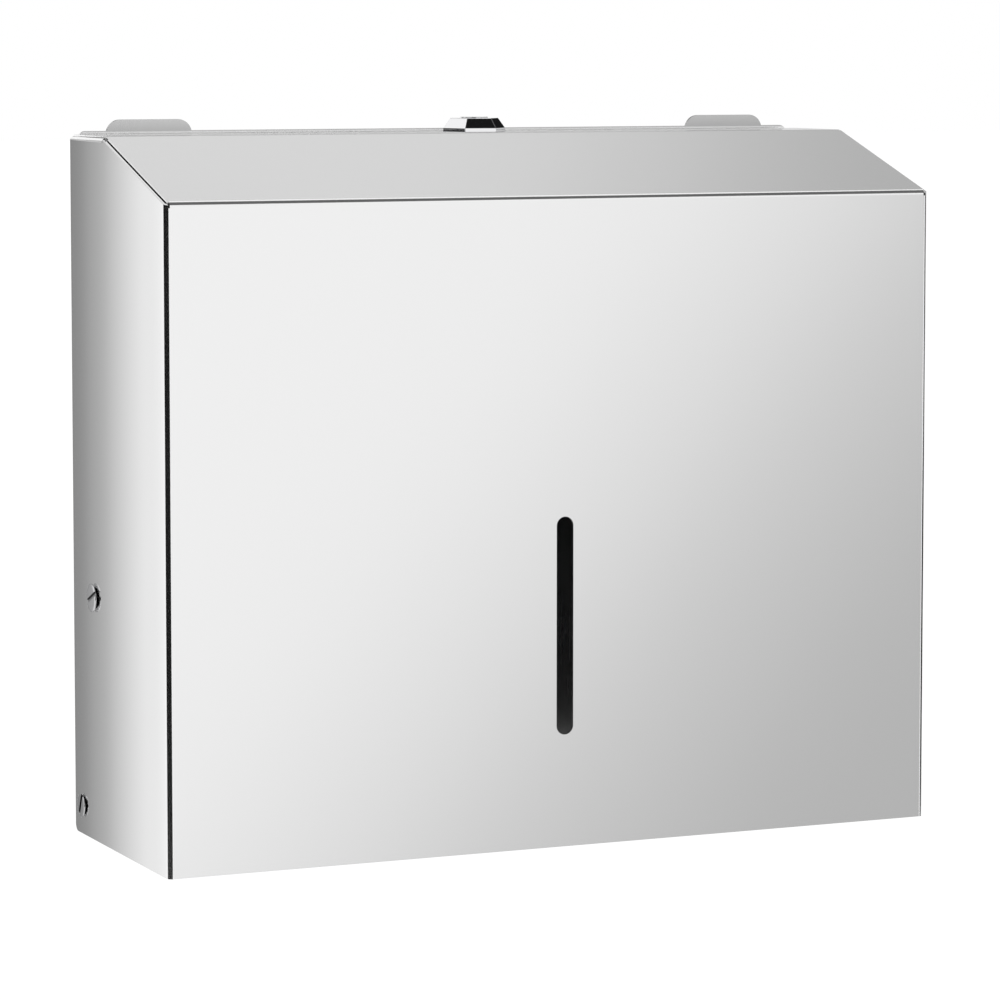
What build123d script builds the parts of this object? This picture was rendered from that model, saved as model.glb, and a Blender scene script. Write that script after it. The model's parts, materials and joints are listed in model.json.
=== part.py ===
from build123d import *
import math
import os

os.makedirs("parts", exist_ok=True)

# A wall-hung dispenser for folded paper towels, in millimetres. X runs across the front, Y runs
# into the wall and Z is up. The wall is y = 0, the front panel faces -Y, and the origin is the
# centre of the four wall holes. A cover of bent sheet swings forward on two screws near its lower
# back corners, two stop screws in arc slots end its travel, and a cam lock in its top closes it.

# Front cover, one bent sheet
cover_width = 275.0
cover_height = 235.0
cover_depth = 94.0
wall_gap = 4.2
cover_sheet = 1.0
cover_bend = 2.0
strip_depth = 33.0
slope_drop = 19.5
seam_gap = 0.4
edge_drop = 0.9
lower_corner_round = 2.5
relief_width = 0.5
relief_length = 0.3
lip_bend = 1.6
lip_reach = 1.7
lip_drop = 0.45
lip_gap = 0.3
lip_relief = 0.7

# Sight slot in the front panel
sight_width = 6.0
sight_length = 72.5
sight_bottom = 37.5
sight_offset = 1.4

# Wall chassis, a back plate with two cheeks
hole_inset_x = 47.5
hole_inset_z = 42.5
hole_centre_rise = 2.5
hole_diameter = 5.5
side_gap = 1.0
chassis_sheet = 1.0
chassis_bend = 2.0
chassis_lift = 3.0
plate_rise = 1.0
plate_corner_round = 2.5
flange_depth = 12.0
flange_top_gap = 9.0
cheek_margin = 5.5
cheek_corner_round = 5.0
ear_width = 30.5
ear_inset = 13.8
ear_rise = 4.8
ear_round = 5.0

# Hinge screws at the lower back corners of the cover
pivot_inset = 7.7
pivot_height = 9.7
pivot_head_diameter = 8.0
pivot_head_height = 0.9
pivot_shoulder_diameter = 5.0
pivot_thread_diameter = 4.0
pivot_washer_diameter = 10.0
pivot_nut_width = 7.0
pivot_nut_height = 3.2
pivot_slot_angle = 68.0

# Stop screws, which ride in the arc slots of the cheeks
cover_opening = 50.0
stop_radius = 73.2
stop_lean = 10.6
stop_head_diameter = 9.5
stop_head_height = 1.2
stop_thread_diameter = 5.0
stop_bush_diameter = 7.4
stop_washer_diameter = 12.0
stop_washer_height = 1.0
stop_nut_width = 8.0
stop_nut_height = 4.0
stop_slot_angle = 24.0

# Shared by the slotted screws
head_bevel_share = 0.4
driver_slot_width = 1.6
driver_slot_depth = 0.6
thread_stub = 0.6

# Towel tray with the mouth that the towels are pulled through
tray_lift = 6.0
tray_sheet = 1.0
tray_bend = 2.0
tray_front_gap = 4.0
tray_front_rise = 12.0
tray_back_rise = 10.0
tray_flange_height = 14.0
tray_flange_start = 20.0
tray_flange_length = 64.0
tray_corner_gap = 8.0
mouth_length = 170.0
mouth_width = 36.0
mouth_lip = 2.5
mouth_bevel = 0.6

# Cam lock in the top strip
lock_offset = 2.4
lock_setback = 16.3
lock_head_turn = -10.0
lock_base_width = 19.0
lock_top_width = 14.7
lock_rim_height = 1.4
lock_bevel_height = 3.4
barrel_diameter = 12.0
barrel_length = 8.0
barrel_washer_diameter = 17.0
barrel_washer_height = 1.0
barrel_nut_width = 16.0
barrel_nut_height = 4.0
plug_head_diameter = 9.6
plug_head_depth = 2.5
plug_diameter = 8.0
plug_rise = 0.4
key_slot_length = 5.0
key_slot_width = 1.2
key_slot_depth = 3.0
drive_square = 5.0
cam_sheet = 1.6
cam_hub_diameter = 12.0
cam_arm_width = 8.0
cam_reach = 13.0
cam_finger_drop = 5.0
cam_bend = 0.6
cam_screw_diameter = 3.0
cam_screw_length = 5.0
cam_screw_head_diameter = 6.4
cam_screw_head_height = 2.0

# Strike on the back plate, which the cam's finger drops behind
strike_sheet = 1.2
strike_bend = 2.0
strike_width = 28.0
strike_foot = 20.0
strike_play = 1.0
strike_top_gap = 1.0
strike_floor_gap = 1.1
strike_entry_gap = 0.5

# Clearances of the fits
thread_fit = 0.02
running_fit = 0.05
screw_fit = 0.1
bush_fit = 0.2
axial_play = 0.1
plug_axial_gap = 0.3
bush_overhang = 0.3

# Places that follow from the sizes above
half_width = cover_width / 2
inner_half = half_width - cover_sheet
fold_half = inner_half - seam_gap
flat_half = half_width - cover_bend
front_y = -(cover_depth + wall_gap)
back_y = -wall_gap
hole_spacing_x = cover_width - 2 * hole_inset_x
hole_spacing_z = cover_height - 2 * hole_inset_z
bottom_z = -(cover_height / 2 + hole_centre_rise)
top_z = bottom_z + cover_height
slope_run = cover_depth - strip_depth
slope_front_z = top_z - slope_drop
strip_front_y = front_y + slope_run
lip_top_z = top_z - lip_drop
lip_start_z = lip_top_z - lip_bend
strip_half = half_width - lip_reach - lip_gap

chassis_half = inner_half - side_gap
cheek_inner = chassis_half - chassis_sheet
plate_front_y = -chassis_sheet
plate_bottom_z = bottom_z + chassis_lift
flange_top_z = top_z - flange_top_gap

pivot_y = back_y - pivot_inset
pivot_z = bottom_z + pivot_height
stop_y = pivot_y - stop_radius * math.sin(math.radians(stop_lean))
stop_z = pivot_z + stop_radius * math.cos(math.radians(stop_lean))
arc_slot_width = stop_bush_diameter + 2 * bush_fit
cheek_radius = stop_radius + arc_slot_width / 2 + cheek_margin

tray_z = bottom_z + tray_lift
tray_front_y = front_y + cover_sheet + tray_front_gap
mouth_y = (plate_front_y + tray_front_y) / 2

lock_y = strip_front_y + lock_setback
lock_centre = (lock_offset, lock_y)
strip_under_z = top_z - cover_sheet
barrel_end_z = strip_under_z - barrel_length
cam_top_z = barrel_end_z - plug_axial_gap
cam_under_z = cam_top_z - cam_sheet
finger_end_z = cam_under_z - cam_finger_drop
strike_lip_y = lock_y + cam_reach - strike_play
strike_top_z = cam_under_z - strike_top_gap
strike_shelf_z = finger_end_z - strike_floor_gap

SIDES = (("left", -1), ("right", 1))


def save(piece, name):
    """Label a finished piece and write its file."""
    piece.part.label = name
    export_step(piece.part, f"parts/{name}.step")


def side_plane(side, distance, y, z):
    """A plane across the dispenser that faces outwards on one side."""
    return Plane(origin=(side * distance, y, z), x_dir=(0, 1, 0), z_dir=(side, 0, 0))


def bent_sheet(points, thickness, radius, side):
    """Outline of a sheet seen along its bends, drawn on one of its faces and thickened to a side."""
    with BuildLine() as outline:
        FilletPolyline(*points, radius=radius)
        offset(amount=thickness, side=side)
    return outline.edges()


def slotted_screw(plane, head, thread, length, slot_angle, shoulder=(0, 0)):
    """A slotted pan-head screw that enters along the plane's back, with an optional shoulder."""
    head_diameter, head_height = head
    shoulder_diameter, shoulder_length = shoulder
    with BuildPart() as screw:
        with BuildSketch(plane):
            Circle(head_diameter / 2)
        extrude(amount=head_height)
        crown = screw.faces().sort_by(Axis(plane.origin, plane.z_dir))[-1]
        chamfer(crown.edges(), length=head_height * head_bevel_share)
        with BuildSketch(plane.offset(head_height)):
            Rectangle(2 * head_diameter, driver_slot_width, rotation=slot_angle)
        extrude(amount=-driver_slot_depth, mode=Mode.SUBTRACT)
        if shoulder_length:
            with BuildSketch(plane):
                Circle(shoulder_diameter / 2)
            extrude(amount=-shoulder_length)
        with BuildSketch(plane):
            Circle(thread / 2)
        extrude(amount=-length)
    return screw


def ring(plane, outer_diameter, bore_diameter, height):
    """A washer or bush that stands on a plane."""
    with BuildPart() as washer:
        with BuildSketch(plane):
            Circle(outer_diameter / 2)
            Circle(bore_diameter / 2, mode=Mode.SUBTRACT)
        extrude(amount=height)
    return washer


def hex_nut(plane, width, bore_diameter, height):
    """A hexagon nut that stands on a plane."""
    with BuildPart() as nut:
        with BuildSketch(plane):
            RegularPolygon(radius=width / 2, side_count=6, major_radius=False)
            Circle(bore_diameter / 2, mode=Mode.SUBTRACT)
        extrude(amount=height)
    return nut


# Front cover
slope_angle = math.atan2(slope_drop, slope_run)
bend_tangent = cover_bend * math.tan((math.pi / 2 - slope_angle) / 2)
bend_start_z = slope_front_z - bend_tangent
joint_length = 4 * cover_bend


def on_slope(distance):
    """Point of the slope's outer face at a distance from its lower corner."""
    return (
        front_y + distance * math.cos(slope_angle),
        slope_front_z + distance * math.sin(slope_angle),
    )


with BuildPart() as front_cover:
    # Front panel and sides in one wrap
    with BuildSketch(Plane.XY.offset(bottom_z)):
        wrap = (
            (-half_width, back_y),
            (-half_width, front_y),
            (half_width, front_y),
            (half_width, back_y),
        )
        make_face(bent_sheet(wrap, cover_sheet, cover_bend, Side.LEFT))
    extrude(amount=cover_height)
    # Upper edges of the sides: slanted just below the slope, and lower where a lip is rolled in
    with BuildSketch(Plane.YZ):
        relief_y = strip_front_y - lip_relief
        slant = slope_drop / slope_run
        slant_end_z = top_z - edge_drop - (strip_front_y - relief_y) * slant
        Polygon(
            (front_y - slope_run, slant_end_z - (relief_y - front_y + slope_run) * slant),
            (relief_y, slant_end_z),
            (relief_y, lip_start_z),
            (0, lip_start_z),
            (0, top_z + slope_drop),
            (front_y - slope_run, top_z + slope_drop),
            align=None,
        )
    extrude(amount=cover_width, both=True, mode=Mode.SUBTRACT)
    # Room for the bend at the top of the front panel, with a relief at each end
    with BuildSketch(Plane.XZ.offset(-front_y)):
        with Locations((0, bend_start_z - relief_length)):
            Rectangle(2 * (flat_half + relief_width), slope_drop, align=(Align.CENTER, Align.MIN))
    extrude(amount=-cover_bend, mode=Mode.SUBTRACT)
    # Top strip and slope
    with BuildSketch(Plane.YZ.offset(-fold_half)):
        fold = ((back_y, top_z), (strip_front_y, top_z), on_slope(bend_tangent))
        make_face(bent_sheet(fold, cover_sheet, cover_bend, Side.LEFT))
    extrude(amount=2 * fold_half)
    # Bend from the slope to the front panel
    with BuildSketch(Plane.YZ.offset(-flat_half)):
        fold = (
            on_slope(bend_tangent + joint_length),
            (front_y, slope_front_z),
            (front_y, bend_start_z - joint_length),
        )
        make_face(bent_sheet(fold, cover_sheet, cover_bend, Side.LEFT))
    extrude(amount=2 * flat_half)
    # The strip is cut back at its ends, where the sides' upper edges are rolled in beside it
    with BuildSketch(Plane.XY.offset(lip_start_z - cover_bend)):
        for _, side in SIDES:
            with Locations((side * (strip_half + inner_half) / 2, back_y)):
                Rectangle(inner_half - strip_half, back_y - relief_y, align=(Align.CENTER, Align.MAX))
    extrude(amount=2 * cover_bend, mode=Mode.SUBTRACT)
    for side, inwards in ((-1, Side.RIGHT), (1, Side.LEFT)):
        with BuildSketch(Plane.XZ.offset(-back_y)):
            fold = (
                (side * half_width, lip_start_z - joint_length),
                (side * half_width, lip_top_z),
                (side * (half_width - lip_reach), lip_top_z),
            )
            make_face(bent_sheet(fold, cover_sheet, lip_bend, inwards))
        extrude(amount=back_y - strip_front_y)
    # Rounded lower back corners of the sides
    corners = front_cover.edges().filter_by(Axis.X)
    corners = corners.filter_by(lambda edge: abs(edge.center().Y - back_y) < thread_fit)
    fillet(corners.group_by(Axis.Z)[0], radius=lower_corner_round)
    # Sight slot and lock hole
    with BuildSketch(Plane.XZ.offset(-front_y)):
        with Locations((sight_offset, bottom_z + sight_bottom + sight_length / 2)):
            SlotOverall(sight_length, sight_width, rotation=90)
    extrude(amount=-cover_sheet, mode=Mode.SUBTRACT)
    with BuildSketch(Plane.XY.offset(top_z)):
        with Locations(lock_centre):
            Circle(barrel_diameter / 2 + screw_fit)
    extrude(amount=-cover_sheet, mode=Mode.SUBTRACT)
    # Screw holes in the sides
    for _, side in SIDES:
        with BuildSketch(side_plane(side, half_width, pivot_y, pivot_z)):
            Circle(pivot_shoulder_diameter / 2 + running_fit)
        extrude(amount=-cover_sheet, mode=Mode.SUBTRACT)
        with BuildSketch(side_plane(side, half_width, stop_y, stop_z)):
            Circle(stop_thread_diameter / 2 + screw_fit)
        extrude(amount=-cover_sheet, mode=Mode.SUBTRACT)
save(front_cover, "front_cover")


# Wall chassis
def cheek_point(y):
    """Point of the cheek's round front edge above the pivot, at a depth y."""
    return (y, pivot_z + math.sqrt(cheek_radius**2 - (y - pivot_y) ** 2))


with BuildPart() as wall_chassis:
    # Back plate and cheeks in one wrap
    cheek_front_y = pivot_y - cheek_radius
    with BuildSketch(Plane.XY.offset(plate_bottom_z)):
        wrap = (
            (-chassis_half, cheek_front_y),
            (-chassis_half, 0),
            (chassis_half, 0),
            (chassis_half, cheek_front_y),
        )
        make_face(bent_sheet(wrap, chassis_sheet, chassis_bend, Side.RIGHT))
    extrude(amount=flange_top_z - plate_bottom_z)
    # Outline of the cheeks: a quadrant about the pivot that runs up into a narrow flange
    with BuildSketch(Plane.YZ) as cheek_outline:
        foot_reach = math.sqrt(cheek_radius**2 - (plate_bottom_z - pivot_z) ** 2)
        quadrant_foot = (pivot_y - foot_reach, plate_bottom_z)
        quadrant_top = cheek_point(-flange_depth)
        with BuildLine():
            Polyline((0, flange_top_z), (0, plate_bottom_z), quadrant_foot)
            ThreePointArc(quadrant_foot, cheek_point(pivot_y - cheek_radius / 2), quadrant_top)
            Polyline(quadrant_top, (-flange_depth, flange_top_z), (0, flange_top_z))
        make_face()
        fillet(cheek_outline.vertices().sort_by(Axis.X)[0], radius=cheek_corner_round)
    extrude(amount=cover_width, both=True, mode=Mode.INTERSECT)
    # Upper part of the back plate, with two ears
    with BuildSketch(Plane.XZ) as upper_plate:
        upper_half = chassis_half - chassis_bend
        with Locations((0, top_z + plate_rise)):
            Rectangle(2 * upper_half, 2 * flange_top_gap, align=(Align.CENTER, Align.MAX))
        fillet(upper_plate.vertices().group_by(Axis.Y)[-1], radius=plate_corner_round)
    extrude(amount=chassis_sheet)
    with BuildSketch(Plane.XZ) as ears:
        ear_x = half_width - ear_inset - ear_width / 2
        with Locations((-ear_x, top_z + ear_rise), (ear_x, top_z + ear_rise)):
            Rectangle(ear_width, ear_rise + flange_top_gap, align=(Align.CENTER, Align.MAX))
        fillet(ears.vertices().group_by(Axis.Y)[-1], radius=ear_round)
    extrude(amount=chassis_sheet)
    # Wall holes in the back plate
    with BuildSketch(Plane.XZ):
        with GridLocations(hole_spacing_x, hole_spacing_z, 2, 2):
            Circle(hole_diameter / 2)
    extrude(amount=chassis_sheet, mode=Mode.SUBTRACT)
    # Pivot hole and arc slot in each cheek
    with BuildSketch(Plane.YZ):
        with Locations((pivot_y, pivot_z)):
            Circle(pivot_thread_diameter / 2 + screw_fit)
        slot_end = math.degrees(bush_fit / stop_radius)
        with BuildLine(mode=Mode.PRIVATE) as travel:
            CenterArc(
                (pivot_y, pivot_z),
                stop_radius,
                start_angle=90 + stop_lean - slot_end,
                arc_size=cover_opening + 2 * slot_end,
            )
        SlotArc(travel.edges()[0], arc_slot_width)
    extrude(amount=cover_width, both=True, mode=Mode.SUBTRACT)
save(wall_chassis, "wall_chassis")

# Towel tray, spot-welded by its side flanges to the cheeks
with BuildPart() as towel_tray:
    tray_half = cheek_inner - tray_corner_gap
    with BuildSketch(Plane.YZ.offset(-tray_half)):
        fold = (
            (plate_front_y, tray_z + tray_back_rise),
            (plate_front_y, tray_z),
            (tray_front_y, tray_z),
            (tray_front_y, tray_z + tray_front_rise),
        )
        make_face(bent_sheet(fold, tray_sheet, tray_bend, Side.RIGHT))
    extrude(amount=2 * tray_half)
    with BuildSketch(Plane.XZ.offset(tray_flange_start)):
        fold = (
            (-cheek_inner, tray_z + tray_flange_height),
            (-cheek_inner, tray_z),
            (cheek_inner, tray_z),
            (cheek_inner, tray_z + tray_flange_height),
        )
        make_face(bent_sheet(fold, tray_sheet, tray_bend, Side.LEFT))
    extrude(amount=tray_flange_length)
    # Mouth with a turned-down lip
    with BuildSketch(Plane.XY.offset(tray_z - mouth_lip)):
        with Locations((0, mouth_y)):
            SlotOverall(mouth_length + 2 * tray_sheet, mouth_width + 2 * tray_sheet)
    extrude(amount=mouth_lip + tray_sheet)
    with BuildSketch(Plane.XY.offset(tray_z - mouth_lip)):
        with Locations((0, mouth_y)):
            SlotOverall(mouth_length, mouth_width)
    extrude(amount=mouth_lip + tray_sheet, mode=Mode.SUBTRACT)
    chamfer(towel_tray.edges(Select.LAST).group_by(Axis.Z)[-1], length=mouth_bevel)
save(towel_tray, "towel_tray")

# Lock strike: a foot welded to the back plate, a shelf and a lip with a gap where the finger enters
with BuildPart() as lock_strike:
    with BuildSketch(Plane.YZ.offset(lock_offset - strike_width / 2)):
        fold = (
            (plate_front_y, strike_shelf_z - strike_foot),
            (plate_front_y, strike_shelf_z),
            (strike_lip_y, strike_shelf_z),
            (strike_lip_y, strike_top_z),
        )
        make_face(bent_sheet(fold, strike_sheet, strike_bend, Side.LEFT))
    extrude(amount=strike_width)
    # The finger's inner edge sweeps a circle about the lock, and the lip ends inside it
    with BuildSketch(Plane.XY.offset(strike_shelf_z)):
        lip_end = math.sqrt((cam_reach - strike_entry_gap) ** 2 - (cam_reach - strike_play) ** 2)
        with Locations((lock_offset + lip_end, strike_lip_y)):
            Rectangle(strike_width, 2 * (strike_bend + strike_sheet), align=(Align.MIN, Align.CENTER))
    extrude(amount=strike_top_z - strike_shelf_z, mode=Mode.SUBTRACT)
save(lock_strike, "lock_strike")

# Hinge and stop hardware on each side
pivot_shoulder_length = cover_sheet + axial_play
pivot_washer_height = side_gap - axial_play
stop_bush_length = side_gap + chassis_sheet + bush_overhang
for name, side in SIDES:
    outside = side_plane(side, half_width, pivot_y, pivot_z)
    save(
        slotted_screw(
            outside,
            (pivot_head_diameter, pivot_head_height),
            pivot_thread_diameter,
            half_width - cheek_inner + pivot_nut_height + thread_stub,
            pivot_slot_angle,
            (pivot_shoulder_diameter, pivot_shoulder_length),
        ),
        f"{name}_pivot_screw",
    )
    washer_plane = side_plane(side, chassis_half, pivot_y, pivot_z)
    washer_bore = pivot_thread_diameter + 2 * screw_fit
    pivot_washer = ring(washer_plane, pivot_washer_diameter, washer_bore, pivot_washer_height)
    save(pivot_washer, f"{name}_pivot_washer")
    nut_plane = side_plane(side, cheek_inner - pivot_nut_height, pivot_y, pivot_z)
    nut_bore = pivot_thread_diameter + 2 * thread_fit
    save(hex_nut(nut_plane, pivot_nut_width, nut_bore, pivot_nut_height), f"{name}_pivot_nut")

    outside = side_plane(side, half_width, stop_y, stop_z)
    stop_stack = cover_sheet + stop_bush_length + stop_washer_height + stop_nut_height
    save(
        slotted_screw(
            outside,
            (stop_head_diameter, stop_head_height),
            stop_thread_diameter,
            stop_stack + thread_stub,
            stop_slot_angle,
        ),
        f"{name}_stop_screw",
    )
    bush_end = inner_half - stop_bush_length
    washer_end = bush_end - stop_washer_height
    screw_bore = stop_thread_diameter + 2 * thread_fit
    bush_plane = side_plane(side, bush_end, stop_y, stop_z)
    save(ring(bush_plane, stop_bush_diameter, screw_bore, stop_bush_length), f"{name}_stop_bush")
    washer_plane = side_plane(side, washer_end, stop_y, stop_z)
    stop_washer = ring(washer_plane, stop_washer_diameter, screw_bore, stop_washer_height)
    save(stop_washer, f"{name}_stop_washer")
    nut_plane = side_plane(side, washer_end - stop_nut_height, stop_y, stop_z)
    save(hex_nut(nut_plane, stop_nut_width, screw_bore, stop_nut_height), f"{name}_stop_nut")

# Lock barrel: a six-sided head with bevelled faces, and a round body through the top strip
lock_top_z = top_z + lock_rim_height + lock_bevel_height
with BuildPart() as lock_barrel:
    with BuildSketch(Plane.XY.offset(top_z)):
        with Locations(lock_centre):
            RegularPolygon(lock_base_width / 2, 6, major_radius=False, rotation=lock_head_turn)
    extrude(amount=lock_rim_height)
    for level, width in ((top_z + lock_rim_height, lock_base_width), (lock_top_z, lock_top_width)):
        with BuildSketch(Plane.XY.offset(level)):
            with Locations(lock_centre):
                RegularPolygon(width / 2, 6, major_radius=False, rotation=lock_head_turn)
    loft()
    with BuildSketch(Plane.XY.offset(top_z)):
        with Locations(lock_centre):
            Circle(barrel_diameter / 2)
    extrude(amount=barrel_end_z - top_z)
    with BuildSketch(Plane.XY.offset(lock_top_z)):
        with Locations(lock_centre):
            Circle(plug_head_diameter / 2 + running_fit)
    extrude(amount=-(plug_head_depth + running_fit), mode=Mode.SUBTRACT)
    with BuildSketch(Plane.XY.offset(lock_top_z)):
        with Locations(lock_centre):
            Circle(plug_diameter / 2 + running_fit)
    extrude(amount=barrel_end_z - lock_top_z, mode=Mode.SUBTRACT)
save(lock_barrel, "lock_barrel")

barrel_bore = barrel_diameter + 2 * thread_fit
washer_z = strip_under_z - barrel_washer_height
washer_plane = Plane((*lock_centre, washer_z))
lock_washer = ring(washer_plane, barrel_washer_diameter, barrel_bore, barrel_washer_height)
save(lock_washer, "lock_washer")
nut_plane = Plane((*lock_centre, washer_z - barrel_nut_height))
lock_nut = hex_nut(nut_plane, barrel_nut_width, barrel_bore, barrel_nut_height)
save(lock_nut, "lock_nut")

# Lock plug: a round core with a key slot above and a square drive for the cam below
with BuildPart() as lock_plug:
    with BuildSketch(Plane.XY.offset(lock_top_z - plug_head_depth)):
        with Locations(lock_centre):
            Circle(plug_head_diameter / 2)
    extrude(amount=plug_head_depth + plug_rise)
    chamfer(lock_plug.faces().sort_by(Axis.Z)[-1].edges(), length=plug_rise / 2)
    with BuildSketch(Plane.XY.offset(cam_top_z)):
        with Locations(lock_centre):
            Circle(plug_diameter / 2)
    extrude(amount=lock_top_z - plug_head_depth - cam_top_z)
    with BuildSketch(Plane.XY.offset(cam_under_z)):
        with Locations(lock_centre):
            Rectangle(drive_square, drive_square)
    extrude(amount=cam_sheet)
    with BuildSketch(Plane.XY.offset(lock_top_z + plug_rise)):
        with Locations(lock_centre):
            Rectangle(key_slot_length, key_slot_width)
    extrude(amount=-key_slot_depth, mode=Mode.SUBTRACT)
    with BuildSketch(Plane.XY.offset(cam_under_z)):
        with Locations(lock_centre):
            Circle(cam_screw_diameter / 2 + thread_fit)
    extrude(amount=cam_screw_length, mode=Mode.SUBTRACT)
save(lock_plug, "lock_plug")

# Lock cam: a flat arm that points along +X when the lock is open, with a finger bent down at its end
with BuildPart() as lock_cam:
    with BuildSketch(Plane.XY.offset(cam_under_z)):
        with Locations(lock_centre):
            Circle(cam_hub_diameter / 2)
            Rectangle(cam_reach, cam_arm_width, align=(Align.MIN, Align.CENTER))
    extrude(amount=cam_sheet)
    with BuildSketch(Plane.XZ.offset(-lock_y - cam_arm_width / 2)):
        finger_x = lock_offset + cam_reach + cam_sheet
        fold = (
            (lock_offset + cam_reach / 2, cam_top_z),
            (finger_x, cam_top_z),
            (finger_x, finger_end_z),
        )
        make_face(bent_sheet(fold, cam_sheet, cam_sheet + cam_bend, Side.RIGHT))
    extrude(amount=cam_arm_width)
    with BuildSketch(Plane.XY.offset(cam_under_z)):
        with Locations(lock_centre):
            Rectangle(drive_square + 2 * thread_fit, drive_square + 2 * thread_fit)
    extrude(amount=cam_sheet, mode=Mode.SUBTRACT)
save(lock_cam, "lock_cam")

with BuildPart() as cam_screw:
    with BuildSketch(Plane.XY.offset(cam_under_z)):
        with Locations(lock_centre):
            Circle(cam_screw_head_diameter / 2)
    extrude(amount=-cam_screw_head_height)
    chamfer(cam_screw.faces().sort_by(Axis.Z)[0].edges(), length=cam_screw_head_height * head_bevel_share)
    with BuildSketch(Plane.XY.offset(cam_under_z - cam_screw_head_height)):
        with Locations(lock_centre):
            Rectangle(2 * cam_screw_head_diameter, driver_slot_width)
    extrude(amount=driver_slot_depth, mode=Mode.SUBTRACT)
    with BuildSketch(Plane.XY.offset(cam_under_z)):
        with Locations(lock_centre):
            Circle(cam_screw_diameter / 2)
    extrude(amount=cam_screw_length - axial_play)
save(cam_screw, "cam_screw")
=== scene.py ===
import json
import math

import bmesh
import bpy
from bpy.props import FloatProperty, FloatVectorProperty, IntProperty, PointerProperty
from mathutils import Matrix, Vector


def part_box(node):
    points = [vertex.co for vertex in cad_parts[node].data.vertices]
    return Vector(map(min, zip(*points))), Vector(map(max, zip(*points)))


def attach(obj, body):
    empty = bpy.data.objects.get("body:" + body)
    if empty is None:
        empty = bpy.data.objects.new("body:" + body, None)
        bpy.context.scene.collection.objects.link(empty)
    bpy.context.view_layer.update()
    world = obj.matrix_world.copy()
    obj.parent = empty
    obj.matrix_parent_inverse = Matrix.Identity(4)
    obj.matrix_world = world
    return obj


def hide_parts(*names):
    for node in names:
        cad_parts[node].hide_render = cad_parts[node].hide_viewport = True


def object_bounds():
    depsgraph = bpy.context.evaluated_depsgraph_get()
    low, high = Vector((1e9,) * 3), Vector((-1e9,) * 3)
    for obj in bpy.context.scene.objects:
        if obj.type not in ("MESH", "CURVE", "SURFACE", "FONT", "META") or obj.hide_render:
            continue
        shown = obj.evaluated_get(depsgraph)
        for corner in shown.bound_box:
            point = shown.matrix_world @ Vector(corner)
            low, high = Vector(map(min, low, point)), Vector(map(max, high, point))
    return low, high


bl_info = {
    "name": "Paper towel dispenser",
    "version": (1, 0, 0),
    "blender": (4, 5, 0),
    "location": "View3D > Sidebar > Dispenser",
    "description": "Dresses the solids of a wall-hung paper towel dispenser and sets its stage",
    "category": "Object",
}

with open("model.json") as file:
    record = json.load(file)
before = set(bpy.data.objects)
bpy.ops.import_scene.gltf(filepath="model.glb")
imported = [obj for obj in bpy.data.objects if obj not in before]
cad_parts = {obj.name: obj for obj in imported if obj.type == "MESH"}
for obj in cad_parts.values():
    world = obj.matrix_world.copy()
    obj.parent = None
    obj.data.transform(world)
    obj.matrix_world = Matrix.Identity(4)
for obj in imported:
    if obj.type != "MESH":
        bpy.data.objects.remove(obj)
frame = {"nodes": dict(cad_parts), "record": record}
CAD_LOW, CAD_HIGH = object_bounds()
COVER_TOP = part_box("front_cover")[1].z
MM = 0.001
SIDES = (("left", -1), ("right", 1))
MERGE_DISTANCE = 0.001 * MM


def centre(cad_node):
    """Middle of a CAD node's box."""
    low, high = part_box(cad_node)
    return (low + high) / 2


def span(cad_node):
    """Size of a CAD node's box."""
    low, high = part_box(cad_node)
    return high - low


def node(tree, kind, inputs=None, **settings):
    """Add a node, set its properties, and set or link its inputs."""
    made = tree.nodes.new(kind)
    for name, value in settings.items():
        setattr(made, name, value)
    for socket, value in (inputs or {}).items():
        if isinstance(value, bpy.types.NodeSocket):
            tree.links.new(value, made.inputs[socket])
        else:
            made.inputs[socket].default_value = value
    return made


def ramp(tree, value, stops, interpolation="LINEAR"):
    """Turn a value into a colour by stops of a position and a colour."""
    made = node(tree, "ShaderNodeValToRGB", {0: value})
    made.color_ramp.interpolation = interpolation
    points = made.color_ramp.elements
    while len(points) < len(stops):
        points.new(1)
    for point, (position, colour) in zip(points, stops):
        point.position = position
        point.color = (*colour, 1)
    return made.outputs["Color"]


def greys(stops):
    """Stops of a position and a tone, as stops of a position and a colour."""
    return [(position, (tone, tone, tone)) for position, tone in stops]


def link_object(name, mesh):
    """Put a mesh into the scene at the origin."""
    made = bpy.data.objects.new(name, mesh)
    bpy.context.scene.collection.objects.link(made)
    return made


# Finishes

UPRIGHT_GRAIN = (1800, 1800, 30)
TURNED_GRAIN = (500, 500, 500)

# Painted shade in grooves: how open a groove is where the painted shade is darkest, and where it
# shines like the rest
GROOVE_SHUT, GROOVE_OPEN = 0.6, 0.97
# Colour of the painted shade where a groove is most shut
GROOVE_SHADE_COLOUR = (0.02, 0.02, 0.02)
GROOVE_REACH = 1.5 * MM

# Painted light and shade by height: height from the cover's top in millimetres, brightness there,
# and the steel whose colour it takes
PAINTED_LIGHT_LEVELS = (
    (-10, 0.65, "satin"),
    (-1.5, 1, "polished"),
    (0.4, 1, "polished"),
    (0.9, 0.85, "satin"),
    (5, 1.05, "satin"),
)


def new_finish(name):
    """An empty material with its tree, shader and object coordinates."""
    finish = bpy.data.materials.new(name)
    finish.use_nodes = True
    tree = finish.node_tree
    shader = tree.nodes["Principled BSDF"]
    place = node(tree, "ShaderNodeTexCoord").outputs["Object"]
    return finish, tree, shader, place


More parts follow.
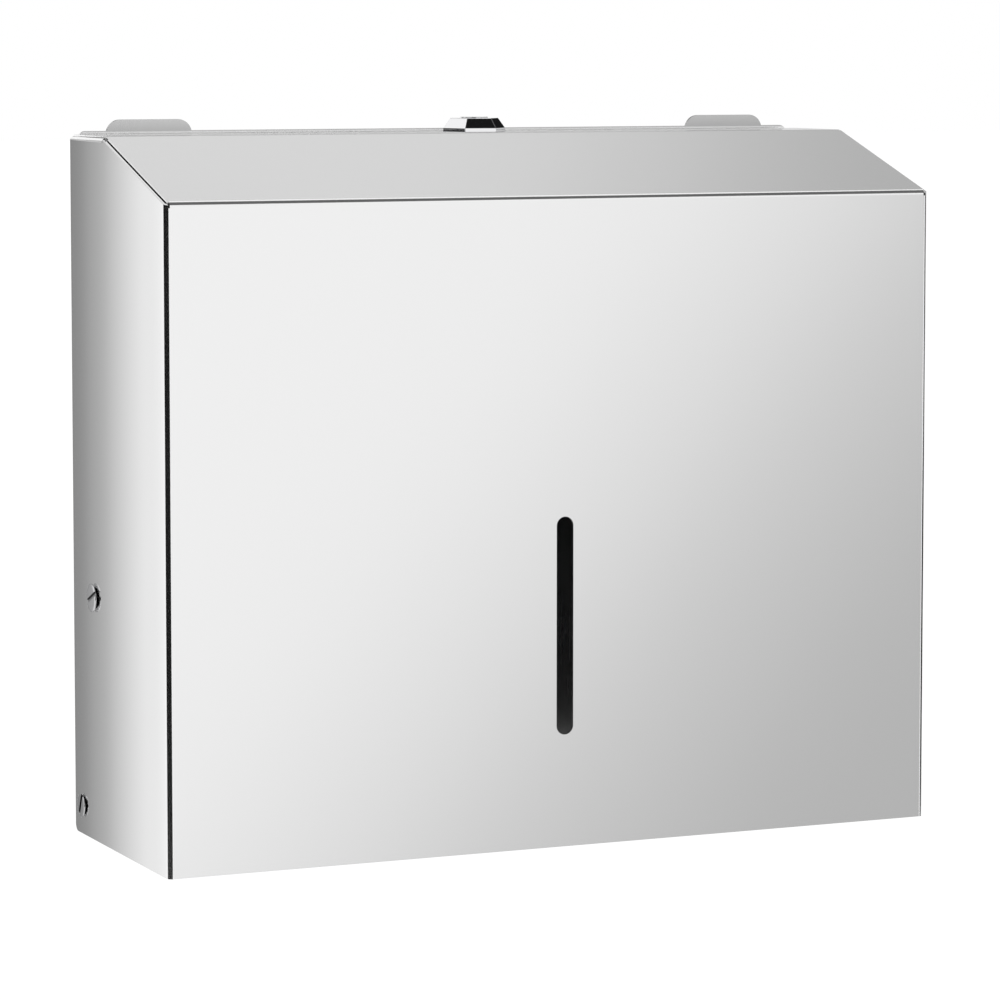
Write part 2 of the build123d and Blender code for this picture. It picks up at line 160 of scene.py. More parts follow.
def metal_finish(name, colour, *, roughness, spread, grain, grain_depth, wave_depth):
    """Bare metal with a fine stretched grain, a spread of gloss and a slow waviness."""
    finish, tree, shader, place = new_finish(name)
    shader.inputs["Base Color"].default_value = (*colour, 1)
    shader.inputs["Metallic"].default_value = 1
    stretched = node(tree, "ShaderNodeMapping", {"Vector": place, "Scale": grain})
    streaks = node(
        tree, "ShaderNodeTexNoise", {"Vector": stretched.outputs[0], "Scale": 1, "Detail": 3}
    )
    cloud = node(tree, "ShaderNodeTexNoise", {"Vector": place, "Scale": 14, "Detail": 2})
    mixed = node(
        tree, "ShaderNodeMath", {0: streaks.outputs[0], 1: cloud.outputs[0]}, operation="MULTIPLY"
    )
    gloss = node(
        tree,
        "ShaderNodeMapRange",
        {
            "Value": mixed.outputs[0],
            "From Max": 0.5,
            "To Min": roughness - spread,
            "To Max": roughness + spread,
        },
    )
    tree.links.new(gloss.outputs[0], shader.inputs["Roughness"])
    wave = node(tree, "ShaderNodeTexNoise", {"Vector": place, "Scale": 7, "Detail": 0})
    waved = node(tree, "ShaderNodeBump", {"Height": wave.outputs[0], "Distance": wave_depth})
    grained = node(
        tree,
        "ShaderNodeBump",
        {"Height": streaks.outputs[0], "Distance": grain_depth, "Normal": waved.outputs[0]},
    )
    tree.links.new(grained.outputs[0], shader.inputs["Normal"])
    return finish


def paint_groove_shade(finish, colour):
    """Paint shade into a finish's colour in narrow grooves, darker the more shut the groove is."""
    tree = finish.node_tree
    shader = tree.nodes["Principled BSDF"]
    openness = node(tree, "ShaderNodeAmbientOcclusion", {"Distance": GROOVE_REACH}, only_local=True)
    stops = ((GROOVE_SHUT, GROOVE_SHADE_COLOUR), (GROOVE_OPEN, colour))
    painted_tone = ramp(tree, openness.outputs["AO"], stops)
    tree.links.new(painted_tone, shader.inputs["Base Color"])
    return finish


def paint_light_by_height(finish, colours):
    """Paint light and shade into a finish by height: darker inside the dispenser as painted shade,
    bright along the top strip as a painted highlight, and satin above.
    """
    tree = finish.node_tree
    place = node(tree, "ShaderNodeTexCoord").outputs["Object"]
    height = node(tree, "ShaderNodeSeparateXYZ", {0: place}).outputs[2]
    low, high = PAINTED_LIGHT_LEVELS[0][0] * MM, PAINTED_LIGHT_LEVELS[-1][0] * MM
    share = node(
        tree,
        "ShaderNodeMapRange",
        {"Value": height, "From Min": COVER_TOP + low, "From Max": COVER_TOP + high},
    )
    stops = [
        ((rise * MM - low) / (high - low), [part * level for part in getattr(colours, steel)])
        for rise, level, steel in PAINTED_LIGHT_LEVELS
    ]
    painted_tone = ramp(tree, share.outputs[0], stops)
    tree.links.new(painted_tone, tree.nodes["Principled BSDF"].inputs["Base Color"])
    return finish


def nylon_finish(name, colour):
    """White moulded nylon with a fine matte skin."""
    finish, tree, shader, place = new_finish(name)
    shader.inputs["Base Color"].default_value = (*colour, 1)
    skin = node(tree, "ShaderNodeTexNoise", {"Vector": place, "Scale": 900, "Detail": 3})
    gloss = node(
        tree, "ShaderNodeMapRange", {"Value": skin.outputs[0], "To Min": 0.38, "To Max": 0.56}
    )
    tree.links.new(gloss.outputs[0], shader.inputs["Roughness"])
    skinned = node(tree, "ShaderNodeBump", {"Height": skin.outputs[0], "Distance": 0.01 * MM})
    tree.links.new(skinned.outputs[0], shader.inputs["Normal"])
    return finish


def make_finishes(colours):
    """One finish for each material slot of the record."""
    return (
        metal_finish(
            "polished_steel",
            colours.polished,
            roughness=0.1,
            spread=0.02,
            grain=UPRIGHT_GRAIN,
            grain_depth=0.0006 * MM,
            wave_depth=0.05 * MM,
        ),
        # Painted shade inside the dispenser and a painted highlight along the top strip, on the
        # satin steel
        paint_light_by_height(
            metal_finish(
                "satin_steel",
                colours.satin,
                roughness=0.26,
                spread=0.04,
                grain=UPRIGHT_GRAIN,
                grain_depth=0.002 * MM,
                wave_depth=0.05 * MM,
            ),
            colours,
        ),
        # Painted shade in the grooves of the fastener steel
        paint_groove_shade(
            metal_finish(
                "fastener_steel",
                colours.fastener,
                roughness=0.14,
                spread=0.04,
                grain=TURNED_GRAIN,
                grain_depth=0.002 * MM,
                wave_depth=0.02 * MM,
            ),
            colours.fastener,
        ),
        metal_finish(
            "lock_chrome",
            colours.chrome,
            roughness=0.06,
            spread=0.02,
            grain=TURNED_GRAIN,
            grain_depth=0.0006 * MM,
            wave_depth=0.01 * MM,
        ),
        nylon_finish("white_nylon", colours.nylon),
    )


def finish_of(name):
    """The finish for a material slot, made on first use."""
    if name not in bpy.data.materials or "dispenser_finish" not in bpy.data.materials[name]:
        for taken in frame["record"]["materials"]:
            if taken["slot"] in bpy.data.materials:
                bpy.data.materials[taken["slot"]].name = taken["slot"] + "_cad"
        for finish in make_finishes(bpy.context.scene.dispenser.colours):
            finish["dispenser_finish"] = True
    return bpy.data.materials[name]


# Pieces dressed from the CAD solids


def dress(cad_node, body, slot, edge_round):
    """Stand-in for a CAD node: welded, flat facets joined, cut edges rounded, bends smooth."""
    mesh = frame["nodes"][cad_node].data.copy()
    mesh.name = cad_node + "_dressed"
    for spare in ("custom_normal", "sharp_edge", "sharp_face"):
        if spare in mesh.attributes:
            mesh.attributes.remove(mesh.attributes[spare])
    work = bmesh.new()
    work.from_mesh(mesh)
    bmesh.ops.remove_doubles(work, verts=work.verts, dist=MERGE_DISTANCE)
    bmesh.ops.dissolve_limit(
        work, angle_limit=math.radians(0.5), verts=work.verts, edges=work.edges
    )
    work.to_mesh(mesh)
    work.free()
    mesh.shade_smooth()
    mesh.materials.clear()
    mesh.materials.append(finish_of(slot))
    piece = link_object(cad_node + "_dressed", mesh)
    rounding = piece.modifiers.new("cut edges", "BEVEL")
    rounding.width = edge_round
    rounding.segments = 2
    rounding.limit_method = "ANGLE"
    rounding.angle_limit = math.radians(30)
    shading = piece.modifiers.new("flat panels", "WEIGHTED_NORMAL")
    shading.keep_sharp = True
    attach(piece, body)
    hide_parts(cad_node)
    return piece


# Repeats made with geometry nodes

# How far a dome bulges towards its rim: 1 is an ellipse, and near 0 is a flat disc
HEAD_FULLNESS = 0.22
SPOT_FULLNESS = 0.5

# Where the spot welds sit on the side flanges of the tray and on the strike
TRAY_SHEET = 1 * MM
TRAY_WELD_RISE = 1 * MM
TRAY_WELD_FRONT_INSET = 15 * MM
TRAY_WELD_BACK_INSET = 28 * MM
STRIKE_SHEET = 1.2 * MM
STRIKE_WELD_RISE = 8 * MM
STRIKE_WELD_SHARES = (0.25, 0.75)
SPOT_HEIGHT_SHARE = 1 / 20

# The stop screw has no step: what stands for its shoulder hides inside its thread
PIVOT_THREAD, PIVOT_SHOULDER = 4 * MM, 5 * MM
STOP_THREAD, STOP_SHOULDER = 5 * MM, 4.8 * MM
SHOULDER_LENGTH = 1.1 * MM
DRIVER_SLOT_WIDTH = 1.6 * MM
DRIVER_SLOT_DEPTH = 0.6 * MM


def repeat_tree(name, sizes):
    """An empty geometry tree whose named inputs are lengths, then a material."""
    tree = bpy.data.node_groups.new(name, "GeometryNodeTree")
    tree.interface.new_socket("Geometry", in_out="INPUT", socket_type="NodeSocketGeometry")
    for size in sizes:
        socket = tree.interface.new_socket(size, in_out="INPUT", socket_type="NodeSocketFloat")
        socket.subtype = "DISTANCE"
    tree.interface.new_socket("Finish", in_out="INPUT", socket_type="NodeSocketMaterial")
    tree.interface.new_socket("Geometry", in_out="OUTPUT", socket_type="NodeSocketGeometry")
    return tree, node(tree, "NodeGroupInput").outputs


def maths(tree, operation, *values):
    """One step of arithmetic in a node tree."""
    return node(tree, "ShaderNodeMath", dict(enumerate(values)), operation=operation).outputs[0]


def dome(tree, diameter, height, fullness):
    """A closed round dome on the XY plane, from a flat base out to a rim and up to a crown."""
    base_share = 0.1
    grid = node(
        tree, "GeometryNodeMeshGrid", {"Size X": 1, "Size Y": 1, "Vertices X": 49, "Vertices Y": 15}
    ).outputs["Mesh"]
    point = node(tree, "GeometryNodeInputPosition").outputs[0]
    spot = node(tree, "ShaderNodeSeparateXYZ", {0: point}).outputs
    around = maths(tree, "MULTIPLY", spot[0], math.tau)
    along = maths(tree, "ADD", spot[1], 0.5)
    base = node(tree, "ShaderNodeMapRange", {"Value": along, "From Max": base_share}).outputs[0]
    rise = node(
        tree, "ShaderNodeMapRange", {"Value": along, "From Min": base_share, "To Max": math.pi / 2}
    ).outputs[0]
    cosine = maths(tree, "MAXIMUM", maths(tree, "COSINE", rise), 0)
    reach = maths(tree, "MULTIPLY", maths(tree, "POWER", cosine, fullness), base)
    radius = maths(tree, "MULTIPLY", reach, maths(tree, "DIVIDE", diameter, 2))
    climb = maths(tree, "POWER", maths(tree, "SINE", rise), fullness)
    level = maths(tree, "MULTIPLY", climb, height)
    place = node(
        tree,
        "ShaderNodeCombineXYZ",
        {
            0: maths(tree, "MULTIPLY", radius, maths(tree, "COSINE", around)),
            1: maths(tree, "MULTIPLY", radius, maths(tree, "SINE", around)),
            2: level,
        },
    )
    shaped = node(tree, "GeometryNodeSetPosition", {"Geometry": grid, "Position": place.outputs[0]})
    return node(
        tree,
        "GeometryNodeMergeByDistance",
        {"Geometry": shaped.outputs[0], "Distance": MERGE_DISTANCE},
    ).outputs[0]


def shank(tree, diameter, length):
    """A round bar that runs down from the XY plane."""
    bar = node(
        tree,
        "GeometryNodeMeshCylinder",
        {"Vertices": 32, "Radius": maths(tree, "DIVIDE", diameter, 2), "Depth": length},
    ).outputs["Mesh"]
    drop = node(tree, "ShaderNodeCombineXYZ", {2: maths(tree, "DIVIDE", length, -2)})
    return node(
        tree, "GeometryNodeTransform", {"Geometry": bar, "Translation": drop.outputs[0]}
    ).outputs[0]


def end_repeat(tree, shape, points, finish):
    """Stand the shape on each point, turned as the point says, and make the result real."""
    smooth = node(tree, "GeometryNodeSetShadeSmooth", {"Geometry": shape}).outputs[0]
    turn = node(
        tree, "GeometryNodeInputNamedAttribute", {"Name": "turn"}, data_type="FLOAT_VECTOR"
    ).outputs[0]
    rotation = node(tree, "FunctionNodeEulerToRotation", {0: turn}).outputs[0]
    stood = node(
        tree,
        "GeometryNodeInstanceOnPoints",
        {"Points": points, "Instance": smooth, "Rotation": rotation},
    )
    real = node(tree, "GeometryNodeRealizeInstances", {0: stood.outputs[0]})
    painted = node(
        tree, "GeometryNodeSetMaterial", {"Geometry": real.outputs[0], "Material": finish}
    )
    out = node(tree, "NodeGroupOutput")
    tree.links.new(painted.outputs[0], out.inputs[0])


def screw_tree():
    """Slotted pan-head screws with a shank and a shoulder."""
    sizes = (
        "Head diameter",
        "Head height",
        "Slot width",
        "Slot depth",
        "Shank diameter",
        "Shank length",
        "Shoulder diameter",
        "Shoulder length",
    )
    tree, given = repeat_tree("slotted_screws", sizes)
    head = dome(tree, given["Head diameter"], given["Head height"], HEAD_FULLNESS)
    cutter_size = node(
        tree,
        "ShaderNodeCombineXYZ",
        {
            0: maths(tree, "MULTIPLY", given["Head diameter"], 2),
            1: given["Slot width"],
            2: maths(tree, "MULTIPLY", given["Slot depth"], 2),
        },
    )
    cutter = node(tree, "GeometryNodeMeshCube", {"Size": cutter_size.outputs[0]}).outputs["Mesh"]
    lift = node(tree, "ShaderNodeCombineXYZ", {2: given["Head height"]})
    raised = node(
        tree, "GeometryNodeTransform", {"Geometry": cutter, "Translation": lift.outputs[0]}
    )
    cut = node(
        tree,
        "GeometryNodeMeshBoolean",
        {"Mesh 1": head, "Mesh 2": raised.outputs[0]},
        operation="DIFFERENCE",
        solver="EXACT",
    )
    whole = node(tree, "GeometryNodeJoinGeometry")
    tree.links.new(cut.outputs["Mesh"], whole.inputs[0])
    for part in ("Shank", "Shoulder"):
        bar = shank(tree, given[part + " diameter"], given[part + " length"])
        tree.links.new(bar, whole.inputs[0])
    end_repeat(tree, whole.outputs[0], given["Geometry"], given["Finish"])
    return tree


def weld_tree():
    """Low round marks that spot welds leave on a sheet."""
    tree, given = repeat_tree("weld_spots", ("Spot diameter", "Spot height"))
    spot = dome(tree, given["Spot diameter"], given["Spot height"], SPOT_FULLNESS)
    end_repeat(tree, spot, given["Geometry"], given["Finish"])
    return tree


def repeat(name, tree, points, sizes, body, slot):
    """Run a repeat tree on turned points and keep the result as one plain mesh on a body."""
    mesh = bpy.data.meshes.new(name + "_points")
    mesh.from_pydata([place for place, _ in points], [], [])
    turns = mesh.attributes.new("turn", "FLOAT_VECTOR", "POINT")
    for turn, (_, angles) in zip(turns.data, points):
        turn.vector = angles
    holder = link_object(name + "_points", mesh)
    maker = holder.modifiers.new(name, "NODES")
    maker.node_group = tree
    for socket in tree.interface.items_tree:
        if socket.in_out == "INPUT" and socket.name in sizes:
            maker[socket.identifier] = sizes[socket.name]
        elif socket.in_out == "INPUT" and socket.name == "Finish":
            maker[socket.identifier] = finish_of(slot)
    ready = holder.evaluated_get(bpy.context.evaluated_depsgraph_get())
    result = bpy.data.meshes.new_from_object(ready)
    holder.modifiers.remove(maker)
    bpy.data.objects.remove(holder)
    if not result.polygons:
        raise RuntimeError(f"{name} came out empty")
    result.set_sharp_from_angle(angle=math.radians(35))
    piece = link_object(name, result)
    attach(piece, body)
    return piece


def side_turn(side, slot_angle=0.0):
    """Euler turn that faces a shape outwards on one side, its slot at an angle to the depth."""
    upright = Matrix.Rotation(side * math.pi / 2, 4, "Y")
    return (upright @ Matrix.Rotation(slot_angle, 4, "Z")).to_euler()


# Stage

# Height of a ray, as the sine of its angle, and the tone of the room there
SKY_TONES = ((0.014, 1.0), (0.035, 0.68), (0.3, 0.3), (0.6, 0.14))

# Side wings: reach in behind the cover and outwards, height, and drop below the cover's top
WING_OVERLAP = 0.5 * MM
WING_OUTER = 0.45
WING_HEIGHT = 0.8
WING_DROP = 1 * MM
WING_TONES = (
    (0, 0.26),
    (0.02, 0.36),
    (0.045, 0.55),
    (0.08, 0.85),
    (0.1, 0.9),
    (0.13, 1.2),
    (1, 1.2),
)


def even(tone):
    """Stops of a card that has one tone all over."""
    return ((0, tone), (1, tone))


LOCK_PLACE = (0, 0, CAD_HIGH.z)
SLOPE_MIDDLE = (0, -0.07, CAD_HIGH.z - 10 * MM)
FRONT_TONES = ((0.46, 0.96), (0.545, 0.9), (0.605, 0.72), (0.67, 0.54), (0.73, 0.49))
SLOPE_TONES = ((0.29, 0.74), (0.45, 0.72), (0.52, 0.67), (0.6, 0.58), (0.7, 0.48))

# Flat cards: name, place, point that it faces, width and height, tones along it, turn of the tones
CARDS = (
    ("front_card", (0.7, -1.6, 0.1), (0.7, 0, 0.1), (1.6, 2.0), FRONT_TONES, math.radians(-139.8)),
    ("slope_card", (1.03, 1.75, 1.49), SLOPE_MIDDLE, (1.6, 0.5), SLOPE_TONES, 0),
    ("bend_card", (0.49, 0.81, 1.84), SLOPE_MIDDLE, (1.8, 1.3), even(1.2), 0),
    ("lip_card", (-0.25, 2.3, 0.85), LOCK_PLACE, (0.9, 0.6), even(1), 0),
    ("lock_card", (-1.3, 1.18, 1.42), LOCK_PLACE, (2.2, 1.2), even(1), 0),
    ("glint_card", (-1.0, -0.2, 1.5), (0, 0, 0), (1.2, 0.9), even(1.3), 0),
    ("roof_flag", (0.2, -1.07, 1.8), LOCK_PLACE, (0.5, 1.0), even(0.01), 0),
)

# Floor card: distance in front, height above the floor, width and depth, tones from left to right
FLOOR_CARD_FRONT = 0.6
FLOOR_CARD_RISE = 5 * MM
FLOOR_CARD_SIZE = (3, 2.4)
FLOOR_CARD_TONES = ((0, 0.35), (1, 0.75))

# Curved screens: name, radius, azimuths in degrees from straight in front, heights, tone
FLAGS = (
    ("left_flag", 2.2, -114, -9, -0.61, 0.2, 0.01),
    ("lock_flag", 1.6, -150, -100, 0.05, 0.5, 0.01),
    ("right_flag", 2.4, 57, 142, -0.55, -0.2, 0.01),
    ("right_upper_flag", 2.4, 65, 142, -0.2, 0.05, 0.12),
    ("facet_flag", 2.4, 116, 142, 0.5, 1.15, 0.01),
)


def glow(name, stops, sweep, reach):
    """Light-card finish: a soft change of tone along one direction of the card."""
    finish = bpy.data.materials.new(name)
    finish.use_nodes = True
    tree = finish.node_tree
    tree.nodes.clear()
    place = node(tree, "ShaderNodeTexCoord").outputs["Object"]
    turned = node(tree, "ShaderNodeMapping", {"Vector": place, "Rotation": (0, 0, -sweep)})
    across = node(tree, "ShaderNodeSeparateXYZ", {0: turned.outputs[0]}).outputs[0]
    share = node(
        tree, "ShaderNodeMapRange", {"Value": across, "From Min": -reach / 2, "From Max": reach / 2}
    )
    tone = ramp(tree, share.outputs[0], greys(stops), "CARDINAL")
    lit = node(tree, "ShaderNodeEmission", {"Color": tone})
    out = node(tree, "ShaderNodeOutputMaterial")
    tree.links.new(lit.outputs[0], out.inputs["Surface"])
    return finish


def only_reflected(card):
    """Keep a light card or flag out of the picture, so that only reflections show it."""
    card.visible_camera = False
    card.visible_diffuse = False
    card.visible_shadow = False


def light_card(name, place, aim, size, stops, sweep):
    """A flat glowing card at a place, facing a point."""
    width, height = size
    mesh = bpy.data.meshes.new(name)
    corners = [(x * width / 2, y * height / 2, 0) for x, y in ((-1, -1), (1, -1), (1, 1), (-1, 1))]
    mesh.from_pydata(corners, [], [(0, 1, 2, 3)])
    reach = abs(width * math.cos(sweep)) + abs(height * math.sin(sweep))
    mesh.materials.append(glow(name, stops, sweep, reach))
    card = link_object(name, mesh)
    card.location = place
    card.rotation_euler = (Vector(aim) - Vector(place)).to_track_quat("Z", "Y").to_euler()
    only_reflected(card)


def flag(name, radius, start, end, low, high, tone):
    """A dark curved screen round the dispenser, between two azimuths and two heights."""
    steps = 16
    corners = []
    for step in range(steps + 1):
        angle = start + (end - start) * step / steps
        for level in (low, high):
            corners.append((radius * math.sin(angle), -radius * math.cos(angle), level))
    faces = [(2 * i, 2 * i + 1, 2 * i + 3, 2 * i + 2) for i in range(steps)]
    mesh = bpy.data.meshes.new(name)
    mesh.from_pydata(corners, [], faces)
    mesh.materials.append(glow(name, even(tone), 0, radius))
    only_reflected(link_object(name, mesh))


class DispenserColours(bpy.types.PropertyGroup):
    """Base colours of the finishes."""

    polished: FloatVectorProperty(
        name="Polished steel",
        description="Colour of the bright cover sheet",
        subtype="COLOR",
        default=(0.9, 0.9, 0.9),
    )
    satin: FloatVectorProperty(
        name="Satin steel",
        description="Colour of the chassis, tray and strike",
        subtype="COLOR",
        default=(0.6, 0.6, 0.6),
    )
    fastener: FloatVectorProperty(
        name="Fastener steel",
        description="Colour of the screws, nuts and cam",
        subtype="COLOR",
        default=(0.7, 0.7, 0.71),
    )
    chrome: FloatVectorProperty(
        name="Lock chrome",
        description="Colour of the plated lock",
        subtype="COLOR",
        default=(0.88, 0.88, 0.89),
    )
    nylon: FloatVectorProperty(
        name="Nylon",
        description="Colour of the bushes and hinge washers",
        subtype="COLOR",
        default=(0.85, 0.85, 0.82),
    )


class DispenserSizes(bpy.types.PropertyGroup):
    """Sizes of the finishing work."""

    sheet_round: FloatProperty(
        name="Sheet edge round",
        description="Rounding of the deburred cut edges of the sheets",
        default=0.25 * MM,
        min=0,
        unit="LENGTH",
    )
    lock_round: FloatProperty(
        name="Lock edge round",
        description="Rounding of the polished edges of the lock head",
        default=0.2 * MM,
        min=0,
        unit="LENGTH",
    )
    fitting_round: FloatProperty(
        name="Fitting edge round",
        description="Rounding of the edges of nuts, washers and bushes",
        default=0.15 * MM,
        min=0,
        unit="LENGTH",
    )
    stop_slot_turn: FloatProperty(
        name="Stop screw slot",
        description="Turn of the upper screws' slots",
        default=math.radians(24),
        subtype="ANGLE",
    )
    pivot_slot_turn: FloatProperty(
        name="Hinge screw slot",
        description="Turn of the lower screws' slots",
        default=math.radians(68),
        subtype="ANGLE",
    )
    weld_spot: FloatProperty(
        name="Weld spot",
        description="Diameter of the spot weld marks",
        default=4 * MM,
        min=0,
        unit="LENGTH",
    )
    weld_count: IntProperty(
        name="Welds per flange",
        description="Spot welds on each side flange of the tray",
        default=3,
        min=2,
    )


class DispenserStage(bpy.types.PropertyGroup):
    """Camera and surroundings."""

    camera_place: FloatVectorProperty(
        name="Camera place",
        description="Where the camera stands",
        subtype="TRANSLATION",
        default=(-0.5763, -1.3514, 0.1458),
    )
    camera_turn: FloatProperty(
        name="Camera turn",
        description="Turn of the view from straight into the wall towards the right",
        default=math.radians(23.858),
        subtype="ANGLE",
    )
    camera_tilt: FloatProperty(
        name="Camera tilt",
        description="Tilt of the view below the horizon",
        default=math.radians(4.857),
        subtype="ANGLE",
    )
    camera_lens: FloatProperty(
        name="Lens",
        description="Focal length in millimetres",
        default=151.69,
    )
    camera_rise: FloatProperty(
        name="Lens shift",
        description="Vertical lens shift that keeps the sides upright",
        default=-0.1,
    )
    floor_drop: FloatProperty(
        name="Floor drop",
        description="Distance from the dispenser down to the floor",
        default=0.5,
        unit="LENGTH",
    )


class DispenserSettings(bpy.types.PropertyGroup):
    """All the settings of the dispenser."""

    colours: PointerProperty(type=DispenserColours)
    sizes: PointerProperty(type=DispenserSizes)
    stage: PointerProperty(type=DispenserStage)


class DISPENSER_OT_cover(bpy.types.Operator):
    """Dress the bent sheet of the front cover"""

    bl_idname = "dispenser.cover"
    bl_label = "Front cover"

    def execute(self, context):
        dress("front_cover", "cover", "polished_steel", context.scene.dispenser.sizes.sheet_round)
        return {"FINISHED"}


class DISPENSER_OT_chassis(bpy.types.Operator):
    """Dress the wall chassis, the towel tray and the lock strike"""

    bl_idname = "dispenser.chassis"
    bl_label = "Wall chassis"

    def execute(self, context):
        edge_round = context.scene.dispenser.sizes.sheet_round
        for cad_node in ("wall_chassis", "towel_tray", "lock_strike"):
            dress(cad_node, "chassis", "satin_steel", edge_round)
        return {"FINISHED"}


class DISPENSER_OT_welds(bpy.types.Operator):
    """Mark the spot welds that hold the tray and the strike"""

    bl_idname = "dispenser.welds"
    bl_label = "Weld spots"

    def execute(self, context):
        sizes = context.scene.dispenser.sizes
        low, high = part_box("towel_tray")
        flange_front, flange_back = low.y + TRAY_WELD_FRONT_INSET, high.y - TRAY_WELD_BACK_INSET
        level = (low.z + high.z) / 2 + TRAY_WELD_RISE
        points = []
        for _, side in SIDES:
            for index in range(sizes.weld_count):
                share = index / (sizes.weld_count - 1)
                depth = flange_front + (flange_back - flange_front) * share
                points.append(((side * (high.x - TRAY_SHEET), depth, level), side_turn(-side)))
        low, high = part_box("lock_strike")
        forwards = Matrix.Rotation(math.pi / 2, 4, "X").to_euler()
        for share in STRIKE_WELD_SHARES:
            across = low.x + (high.x - low.x) * share
            points.append(((across, high.y - STRIKE_SHEET, low.z + STRIKE_WELD_RISE), forwards))
        spots = {
            "Spot diameter": sizes.weld_spot,
            "Spot height": sizes.weld_spot * SPOT_HEIGHT_SHARE,
        }
        repeat("weld_spots", weld_tree(), points, spots, "chassis", "satin_steel")
        return {"FINISHED"}


class DISPENSER_OT_screws(bpy.types.Operator):
    """Make the slotted screws of the hinge and the stops"""

    bl_idname = "dispenser.screws"
    bl_label = "Side screws"

    def execute(self, context):
        sizes = context.scene.dispenser.sizes
        cover_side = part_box("front_cover")[1].x
        tree = screw_tree()
        kinds = (
            ("pivot_screw", "chassis", sizes.pivot_slot_turn, PIVOT_THREAD, PIVOT_SHOULDER),
            ("stop_screw", "cover", sizes.stop_slot_turn, STOP_THREAD, STOP_SHOULDER),
        )
        for kind, body, slot_turn, thread, shoulder in kinds:
            points = []
            for name, side in SIDES:
                middle = centre(f"{name}_{kind}")
                place = (side * cover_side, middle.y, middle.z)
                points.append((place, side_turn(side, slot_turn - math.pi / 2)))
            whole = span(f"left_{kind}")
            head_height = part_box(f"right_{kind}")[1].x - cover_side
            screw = {
                "Head diameter": whole.y,
                "Head height": head_height,
                "Slot width": DRIVER_SLOT_WIDTH,
                "Slot depth": DRIVER_SLOT_DEPTH,
                "Shank diameter": thread,
                "Shank length": whole.x - head_height,
                "Shoulder diameter": shoulder,
                "Shoulder length": SHOULDER_LENGTH,
            }
            piece = repeat(f"{kind}s", tree, points, screw, body, "fastener_steel")
            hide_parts(f"left_{kind}", f"right_{kind}")
        return {"FINISHED"}


class DISPENSER_OT_fittings(bpy.types.Operator):
    """Dress the nuts, washers and bushes behind the side screws"""

    bl_idname = "dispenser.fittings"
    bl_label = "Hinge and stop fittings"

    def execute(self, context):
        edge_round = context.scene.dispenser.sizes.fitting_round
        kinds = (
            ("pivot_washer", "chassis", "white_nylon"),
            ("pivot_nut", "chassis", "fastener_steel"),
            ("stop_bush", "cover", "white_nylon"),
            ("stop_washer", "cover", "fastener_steel"),
            ("stop_nut", "cover", "fastener_steel"),
        )
        for kind, body, slot in kinds:
            for name, _ in SIDES:
                dress(f"{name}_{kind}", body, slot, edge_round)
        return {"FINISHED"}


class DISPENSER_OT_lock(bpy.types.Operator):
    """Dress the lock: head and barrel, washer, nut, plug, cam and cam screw"""

    bl_idname = "dispenser.lock"
    bl_label = "Cam lock"

    def execute(self, context):
        sizes = context.scene.dispenser.sizes
        head = dress("lock_barrel", "cover", "lock_chrome", sizes.lock_round)
        dress("lock_washer", "cover", "fastener_steel", sizes.fitting_round)
        dress("lock_nut", "cover", "fastener_steel", sizes.fitting_round)
        plug = dress("lock_plug", "lock_core", "lock_chrome", sizes.fitting_round / 2)
        dress("lock_cam", "lock_core", "fastener_steel", sizes.fitting_round)
        dress("cam_screw", "lock_core", "fastener_steel", sizes.fitting_round)
        # The plate behind the lock is too dull to show it
        head.visible_glossy = False
        plug.visible_glossy = False
        return {"FINISHED"}


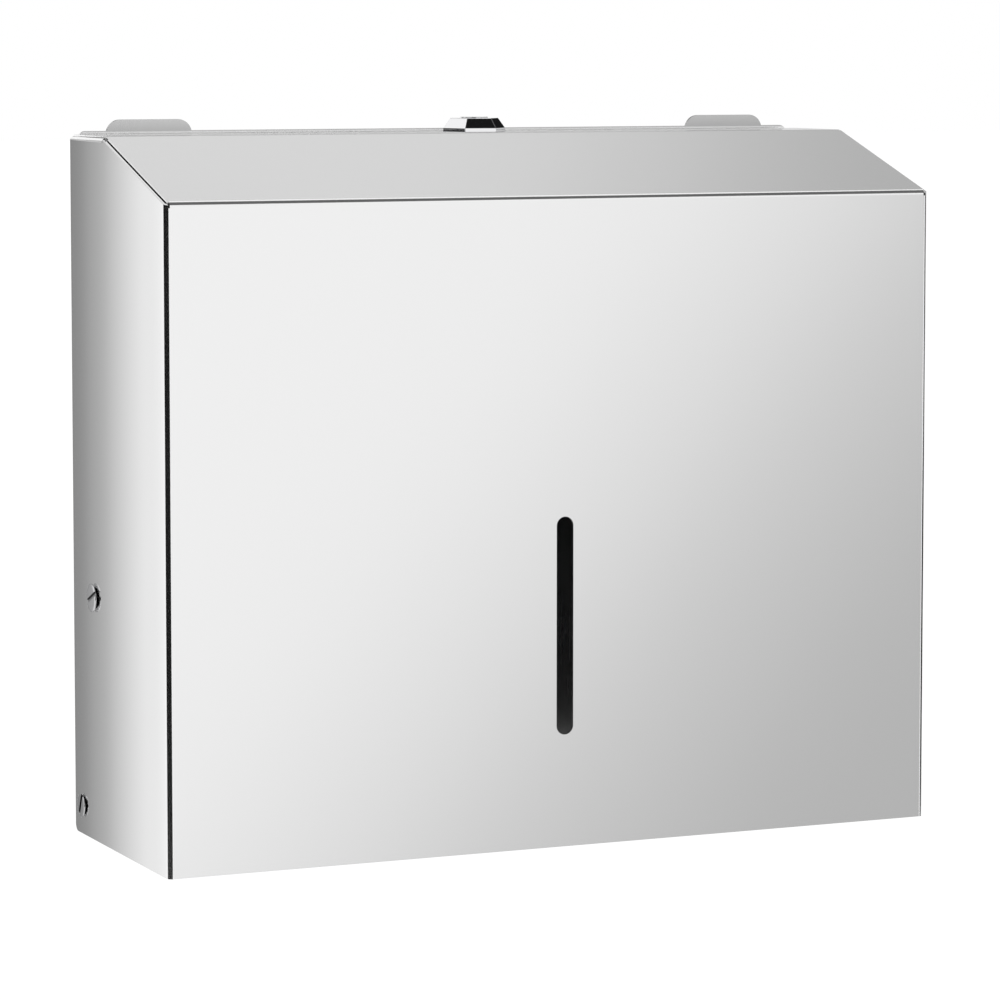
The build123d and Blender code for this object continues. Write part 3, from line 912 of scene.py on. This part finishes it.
class DISPENSER_OT_stage(bpy.types.Operator):
    """Set the floor, the studio light, the cards and the camera"""

    bl_idname = "dispenser.stage"
    bl_label = "Stage"

    def execute(self, context):
        stage = context.scene.dispenser.stage
        level = CAD_LOW.z - stage.floor_drop
        self.lay_floor(level)
        self.light_studio(context.scene)
        self.stand_cards(level)
        self.stand_camera(context.scene, stage)
        context.scene.view_settings.view_transform = "Standard"
        return {"FINISHED"}

    def lay_floor(self, level):
        """A wide pale lit table below the dispenser."""
        reach = 30
        mesh = bpy.data.meshes.new("floor")
        corners = [(x * reach, y * reach, level) for x, y in ((-1, -1), (1, -1), (1, 1), (-1, 1))]
        mesh.from_pydata(corners, [], [(0, 1, 2, 3)])
        finish, tree, shader, place = new_finish("pale_floor")
        shader.inputs["Base Color"].default_value = (0.85, 0.85, 0.85, 1)
        shader.inputs["Emission Color"].default_value = (1, 1, 1, 1)
        shader.inputs["Emission Strength"].default_value = 0.9
        speckle = node(tree, "ShaderNodeTexNoise", {"Vector": place, "Scale": 60, "Detail": 2})
        gloss = node(
            tree, "ShaderNodeMapRange", {"Value": speckle.outputs[0], "To Min": 0.8, "To Max": 0.95}
        )
        tree.links.new(gloss.outputs[0], shader.inputs["Roughness"])
        mesh.materials.append(finish)
        link_object("floor", mesh)

    def light_studio(self, scene):
        """A room that is white at the horizon and dim overhead."""
        world = bpy.data.worlds.new("studio")
        scene.world = world
        world.use_nodes = True
        tree = world.node_tree
        ray = node(tree, "ShaderNodeTexCoord").outputs["Generated"]
        height = node(tree, "ShaderNodeSeparateXYZ", {0: ray}).outputs[2]
        sky = ramp(tree, height, greys(SKY_TONES))
        tree.links.new(sky, tree.nodes["Background"].inputs["Color"])

    def stand_cards(self, level):
        """Cards and flags that the bright sheet mirrors."""
        for card in CARDS:
            light_card(*card)
        under = Vector((0, -FLOOR_CARD_FRONT, level + FLOOR_CARD_RISE))
        over = under + Vector((0, 0, 1))
        light_card("floor_card", under, over, FLOOR_CARD_SIZE, FLOOR_CARD_TONES, 0)
        inner = CAD_HIGH.x - WING_OVERLAP
        height = COVER_TOP - WING_DROP - WING_HEIGHT / 2
        for name, side in SIDES:
            middle = side * (inner + WING_OUTER) / 2
            light_card(
                f"{name}_wing_card",
                (middle, 0, height),
                (middle, -1, height),
                (WING_OUTER - inner, WING_HEIGHT),
                WING_TONES,
                0 if side > 0 else math.pi,
            )
        for name, radius, start, end, low, high, tone in FLAGS:
            flag(name, radius, math.radians(start), math.radians(end), low, high, tone)

    def stand_camera(self, scene, stage):
        """A camera at the photograph's angle."""
        camera = bpy.data.cameras.new("camera")
        camera.lens = stage.camera_lens
        camera.shift_y = stage.camera_rise
        stand = bpy.data.objects.new("camera", camera)
        stand.location = stage.camera_place
        stand.rotation_euler = (math.pi / 2 - stage.camera_tilt, 0, -stage.camera_turn)
        scene.collection.objects.link(stand)
        scene.camera = stand


BUILDERS = (
    DISPENSER_OT_cover,
    DISPENSER_OT_chassis,
    DISPENSER_OT_welds,
    DISPENSER_OT_screws,
    DISPENSER_OT_fittings,
    DISPENSER_OT_lock,
    DISPENSER_OT_stage,
)


class DISPENSER_PT_panel(bpy.types.Panel):
    """Sidebar list of the dispenser's settings and builders"""

    bl_label = "Paper towel dispenser"
    bl_idname = "DISPENSER_PT_panel"
    bl_space_type = "VIEW_3D"
    bl_region_type = "UI"
    bl_category = "Dispenser"

    def draw(self, context):
        settings = context.scene.dispenser
        for group in (settings.colours, settings.sizes, settings.stage):
            box = self.layout.box()
            for name in group.__annotations__:
                box.prop(group, name)
        for builder in BUILDERS:
            self.layout.operator(builder.bl_idname)


CLASSES = (
    DispenserColours,
    DispenserSizes,
    DispenserStage,
    DispenserSettings,
    *BUILDERS,
    DISPENSER_PT_panel,
)


def register():
    """Make the settings, builders and panel known."""
    for cls in CLASSES:
        bpy.utils.register_class(cls)
    bpy.types.Scene.dispenser = PointerProperty(type=DispenserSettings)


def unregister():
    """Take the settings, builders and panel away again."""
    del bpy.types.Scene.dispenser
    for cls in reversed(CLASSES):
        bpy.utils.unregister_class(cls)


def main():
    """Build everything in order."""
    register()
    for builder in BUILDERS:
        area, name = builder.bl_idname.split(".")
        getattr(getattr(bpy.ops, area), name)()


if __name__ == "__main__":
    main()
